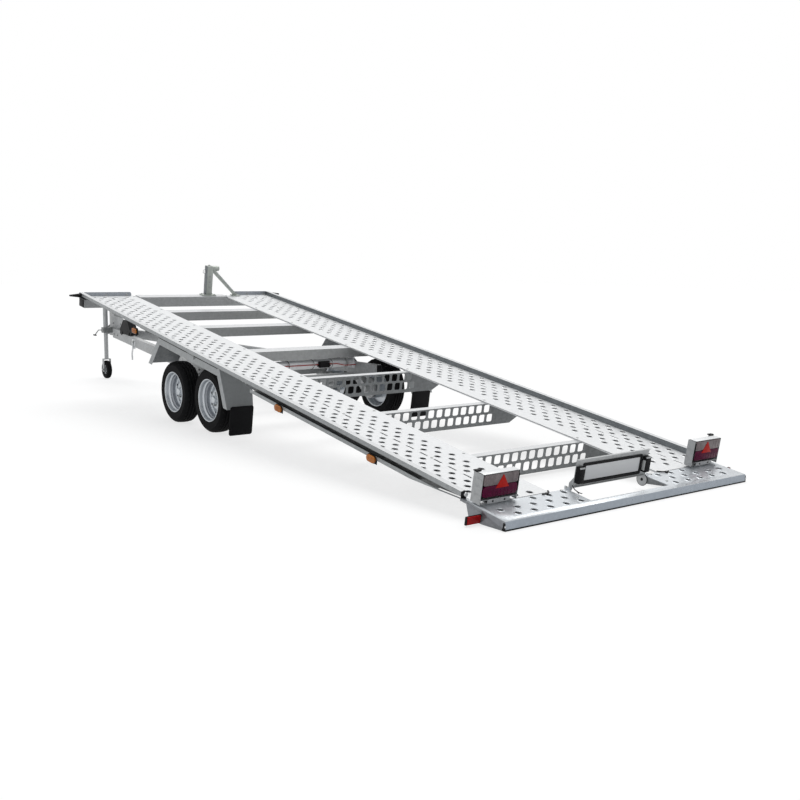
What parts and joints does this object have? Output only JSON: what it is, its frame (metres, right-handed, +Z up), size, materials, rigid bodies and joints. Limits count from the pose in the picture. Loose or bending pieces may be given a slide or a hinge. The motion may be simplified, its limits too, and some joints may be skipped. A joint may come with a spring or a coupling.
{
  "type": "tilting car trailer",
  "caption": "Flat steel car trailer with perforated tracks, paired axles between low mudguards, and a long drawbar; its bed tips back on a cross tube until the tail rests on the ground.",
  "frame": {"origin": "on the ground, in the middle of the trailer's box", "axes": "+Y towards the coupling, +X to the trailer's right, +Z up"},
  "size_m": [2.43, 8.4212, 1.3899],
  "materials": {
    "galvanised": "galvanised, satin",
    "track_steel": "galvanised, bright",
    "tail_steel": "galvanised, bluish",
    "cast_steel": "dark, matt",
    "black_plastic": "matt",
    "cable": "satin",
    "tyre": "matt",
    "rim": "silver, satin",
    "rubber": "matt",
    "lamp_lens": "glossy",
    "plate": "satin"
  },
  "bodies": {
    "chassis": {"drawbar_arm_left": "galvanised", "drawbar_arm_right": "galvanised", "pivot_tube": "galvanised", "nose_housing": "galvanised", "coupling_head": "cast_steel", "jockey_clamp": "cast_steel", "jockey_tube": "galvanised", "wheel_chock": "black_plastic", "brake_cable": "cable", "axle_front": "galvanised", "axle_rear": "galvanised"},
    "bed": {"front_beam": "galvanised", "cross_beam_front": "galvanised", "cross_beam_middle": "galvanised", "cross_beam_pivot": "galvanised", "slotted_beam_front": "galvanised", "slotted_beam_middle": "galvanised", "slotted_beam_rear": "galvanised", "side_beam_left": "galvanised", "side_beam_right": "galvanised", "track_left": "track_steel", "track_right": "track_steel", "headboard_left": "galvanised", "headboard_right": "galvanised", "mudguard_left": "galvanised", "mudguard_right": "galvanised", "mudflap_left": "rubber", "mudflap_right": "rubber", "front_marker_left": "rubber", "front_marker_right": "rubber", "tail_plate": "tail_steel", "winch_post": "galvanised"},
    "wheel_front_left": {"tyre_front_left": "tyre", "rim_front_left": "rim"},
    "wheel_front_right": {"tyre_front_right": "tyre", "rim_front_right": "rim"},
    "wheel_rear_left": {"tyre_rear_left": "tyre", "rim_rear_left": "rim"},
    "wheel_rear_right": {"tyre_rear_right": "tyre", "rim_rear_right": "rim"},
    "jockey_leg": {"jockey_leg": "galvanised"},
    "jockey_roller": {"jockey_wheel": "rubber"},
    "lamp_left": {"lamp_bracket_left": "galvanised", "tail_lamp_left": "lamp_lens"},
    "lamp_right": {"lamp_bracket_right": "galvanised", "tail_lamp_right": "lamp_lens"},
    "plate": {"plate_holder": "galvanised", "number_plate": "plate"}
  },
  "joints": [
    {"name": "bed_tilt", "type": "hinge", "parent": "chassis", "child": "bed", "pos_m": [0, -0.3195, 0.51536], "axis": [1, 0, 0], "range_deg": [-9.17, 0]},
    {"name": "wheel_front_left_spin", "type": "hinge", "parent": "chassis", "child": "wheel_front_left", "pos_m": [-0.8685, 0.2536, 0.275], "axis": [1, 0, 0], "continuous": true},
    {"name": "wheel_front_right_spin", "type": "hinge", "parent": "chassis", "child": "wheel_front_right", "pos_m": [0.8685, 0.2536, 0.275], "axis": [1, 0, 0], "continuous": true},
    {"name": "wheel_rear_left_spin", "type": "hinge", "parent": "chassis", "child": "wheel_rear_left", "pos_m": [-0.8685, -0.4244, 0.275], "axis": [1, 0, 0], "continuous": true},
    {"name": "wheel_rear_right_spin", "type": "hinge", "parent": "chassis", "child": "wheel_rear_right", "pos_m": [0.8685, -0.4244, 0.275], "axis": [1, 0, 0], "continuous": true},
    {"name": "jockey_lift", "type": "slide", "parent": "chassis", "child": "jockey_leg", "axis": [0, 0, 1], "range_m": [0, 0.31]},
    {"name": "jockey_wheel_spin", "type": "hinge", "parent": "jockey_leg", "child": "jockey_roller", "pos_m": [-0.12, 3.9606, 0.111], "axis": [1, 0, 0], "continuous": true},
    {"name": "lamp_left_swing", "type": "hinge", "parent": "bed", "child": "lamp_left", "pos_m": [-1.07, -3.92035, 0.10016], "axis": [0, 0.1594, -0.9872], "range_deg": [0, 110]},
    {"name": "lamp_right_swing", "type": "hinge", "parent": "bed", "child": "lamp_right", "pos_m": [1.07, -3.92035, 0.10016], "axis": [0, -0.1594, 0.9872], "range_deg": [0, 110]},
    {"name": "plate_fold", "type": "hinge", "parent": "bed", "child": "plate", "pos_m": [0, -3.96066, 0.09568], "axis": [1, 0, 0], "range_deg": [0, 90]}
  ]
}
